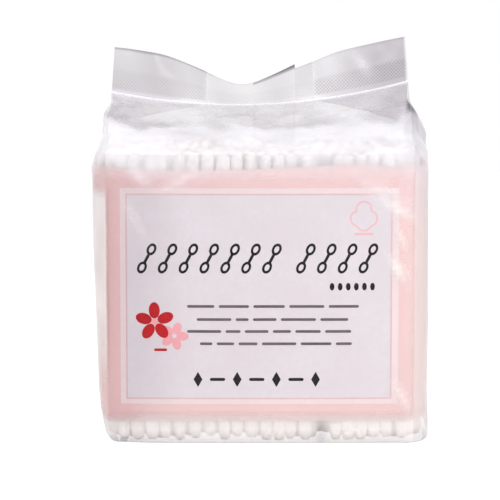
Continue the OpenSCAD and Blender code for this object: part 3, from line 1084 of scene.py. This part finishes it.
# The milky haze and painted glare are warm low down, beside the printed paper, and cool on the shoulders
rise = add_node(tree, "ShaderNodeMapRange")
rise.inputs["From Min"].default_value = 0.055
rise.inputs["From Max"].default_value = 0.079
milk_and_glare_tone = tree.nodes.new("ShaderNodeMix")
milk_and_glare_tone.data_type = "RGBA"
milk_and_glare_tone.inputs["A"].default_value = linear(252, 246, 244)
milk_and_glare_tone.inputs["B"].default_value = linear(249, 248, 255)
tree.links.new(up, rise.inputs["Value"])
tree.links.new(rise.outputs["Result"], milk_and_glare_tone.inputs["Factor"])
tree.links.new(milk_and_glare_tone.outputs["Result"], haze_and_glare.inputs["Base Color"])
rising = maths("SINE", maths("MULTIPLY", maths("ADD", across, up), knurl_wave))
falling = maths("SINE", maths("MULTIPLY", maths("SUBTRACT", across, up), knurl_wave))
diamonds = maths("MULTIPLY", maths("ABSOLUTE", rising), maths("ABSOLUTE", falling))
pressed = maths("MULTIPLY", diamonds, knurl.outputs["Fac"])
crinkle = add_node(tree, "ShaderNodeTexNoise", Scale=260, Detail=3, Roughness=0.6)
tree.links.new(place.outputs["Object"], crinkle.inputs["Vector"])
relief = add_node(tree, "ShaderNodeBump", Strength=0.35, Distance=0.0005)
tree.links.new(maths("ADD", crinkle.outputs["Fac"], pressed), relief.inputs["Height"])
tree.links.new(relief.outputs["Normal"], gloss.inputs["Normal"])
dullness_and_shade = maths("ADD", dull_and_shade.outputs["Fac"], maths("MULTIPLY", pressed, knurl_dull))
tree.links.new(maths("MINIMUM", dullness_and_shade, 1), tint.inputs["Factor"])
tree.links.new(tint.outputs["Result"], clear.inputs["Color"])
facing = tree.nodes.new("ShaderNodeLayerWeight")
facing.inputs["Blend"].default_value = 0.5
tree.links.new(relief.outputs["Normal"], facing.inputs["Normal"])
steep = maths("POWER", facing.outputs["Facing"], edge_power)
# The film's base lies flat on the ground and mirrors nothing
off_ground = add_node(tree, "ShaderNodeMapRange")
off_ground.inputs["From Min"].default_value = 0.0002
off_ground.inputs["From Max"].default_value = 0.002
tree.links.new(up, off_ground.inputs["Value"])
shine = maths("ADD", maths("MULTIPLY", steep, edge_shine), front_shine)
shine = maths("MULTIPLY", shine, off_ground.outputs["Result"])
see_or_shine = tree.nodes.new("ShaderNodeMixShader")
tree.links.new(shine, see_or_shine.inputs["Fac"])
tree.links.new(clear.outputs["BSDF"], see_or_shine.inputs[1])
tree.links.new(gloss.outputs["BSDF"], see_or_shine.inputs[2])
with_haze_and_glare = tree.nodes.new("ShaderNodeMixShader")
tree.links.new(milk_and_glare.outputs["Fac"], with_haze_and_glare.inputs["Fac"])
tree.links.new(see_or_shine.outputs["Shader"], with_haze_and_glare.inputs[1])
tree.links.new(haze_and_glare.outputs["BSDF"], with_haze_and_glare.inputs[2])
tree.links.new(with_haze_and_glare.outputs["Shader"], tree.nodes["Material Output"].inputs["Surface"])
film_mesh.materials.append(film_look)
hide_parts("film_bag")
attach(film, "root")


# Floor: a plain white sheet. A camera ray sees it a little lighter than it is lit, so that it is
# white away from the object and keeps the object's soft shadow.
floor_size = 1.2
floor_back = 0.15
floor_whiteness = 0.55
bpy.ops.object.select_all(action="DESELECT")
bpy.ops.mesh.primitive_plane_add(size=floor_size, location=(0, floor_back, 0))
floor = bpy.context.object
floor.name = "floor"
floor_look, tree, floor_shader = new_material("white floor", linear(244, 244, 244), 0.9)
floor_light = add_node(tree, "ShaderNodeEmission", Strength=1.5)
floor_rays = tree.nodes.new("ShaderNodeLightPath")
floor_mix = tree.nodes.new("ShaderNodeMixShader")
seen = maths("MULTIPLY", floor_rays.outputs["Is Camera Ray"], floor_whiteness)
tree.links.new(seen, floor_mix.inputs["Fac"])
tree.links.new(floor_shader.outputs["BSDF"], floor_mix.inputs[1])
tree.links.new(floor_light.outputs["Emission"], floor_mix.inputs[2])
tree.links.new(floor_mix.outputs["Shader"], tree.nodes["Material Output"].inputs["Surface"])
floor.data.materials.append(floor_look)


# Studio: an even pale world, a large soft lamp high in front, a weaker one at the left and a small
# one at the right. The camera and the film's shine see the world as white.
lamp_aim = Vector((0, 0, 0.05))
world = bpy.data.worlds.new("studio")
bpy.context.scene.world = world
world.use_nodes = True
tree = world.node_tree
room = tree.nodes["Background"]
room.inputs["Color"].default_value = (1, 0.99, 0.99, 1)
room.inputs["Strength"].default_value = 0.4
backdrop = add_node(tree, "ShaderNodeBackground", Strength=1)
backdrop.inputs["Color"].default_value = (1, 1, 1, 1)
world_rays = tree.nodes.new("ShaderNodeLightPath")
seen = maths("MAXIMUM", world_rays.outputs["Is Camera Ray"], world_rays.outputs["Is Glossy Ray"])
seen = maths("MAXIMUM", seen, world_rays.outputs["Is Transmission Ray"])
world_mix = tree.nodes.new("ShaderNodeMixShader")
tree.links.new(seen, world_mix.inputs["Fac"])
tree.links.new(room.outputs["Background"], world_mix.inputs[1])
tree.links.new(backdrop.outputs["Background"], world_mix.inputs[2])
tree.links.new(world_mix.outputs["Shader"], tree.nodes["World Output"].inputs["Surface"])
for name, spot, size, power in (
    ("right_lamp", (0.22, -0.25, 0.15), 0.2, 0.46),
    ("left_lamp", (-0.6, -0.25, 0.25), 0.5, 1.15),
    ("top_lamp", (-0.03, -0.25, 0.76), 0.5, 3.6),
):
    lamp_data = bpy.data.lights.new(name, "AREA")
    lamp_data.shape = "DISK"
    lamp_data.size = size
    lamp_data.energy = power
    lamp = bpy.data.objects.new(name, lamp_data)
    bpy.context.scene.collection.objects.link(lamp)
    lamp.location = spot
    lamp.rotation_euler = (lamp_aim - Vector(spot)).to_track_quat("-Z", "Y").to_euler()


# Camera: a long lens that stands in front of the pack and a little higher, and looks down at the
# middle of its front.
camera_data = bpy.data.cameras.new("camera")
camera_data.sensor_width = 36
camera_data.lens = 180
camera = bpy.data.objects.new("camera", camera_data)
bpy.context.scene.collection.objects.link(camera)
aim = Vector((-0.00266, -0.0258, 0.051))
distance = 0.646
look_down = math.radians(7)
camera.location = aim + distance * Vector((0, -math.cos(look_down), math.sin(look_down)))
camera.rotation_euler = (aim - camera.location).to_track_quat("-Z", "Y").to_euler()
bpy.context.scene.camera = camera
bpy.context.scene.view_settings.view_transform = "Standard"
